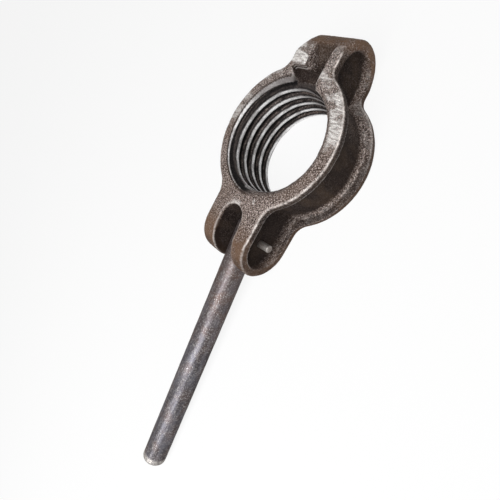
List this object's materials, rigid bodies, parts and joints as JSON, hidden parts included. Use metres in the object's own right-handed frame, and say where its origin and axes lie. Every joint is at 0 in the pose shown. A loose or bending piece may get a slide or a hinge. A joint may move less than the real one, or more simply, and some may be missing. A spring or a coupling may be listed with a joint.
{
  "type": "scaffolding prop nut",
  "caption": "Cast ring nut with a coarse internal thread, a short striking lug and a forked lug in which a round bar handle is pinned, for raising an adjustable prop.",
  "frame": {"origin": "on the bore axis, in the flat bearing face that the nut lies on", "axes": "+Z along the bore towards the front face with the open fork, +X out along the handle lug"},
  "size_m": [0.285, 0.0816, 0.036],
  "materials": {
    "cast_iron": "sand-cast, speckled grey-brown, with worn bright edges and machined thread crests",
    "handle_steel": "dark rolled bar with a brown patina and a bright worn end",
    "pin_steel": "bare drawn wire"
  },
  "bodies": {
    "nut": {"nut_body": "cast_iron", "pivot_pin": "pin_steel"},
    "handle": {"handle_bar": "handle_steel"}
  },
  "joints": [
    {"name": "handle_pivot", "type": "hinge", "parent": "nut", "child": "handle", "pos_m": [0.0556, 0, 0.0169], "axis": [0.0837, -0.9965, 0], "range_deg": [-12, 110]}
  ]
}
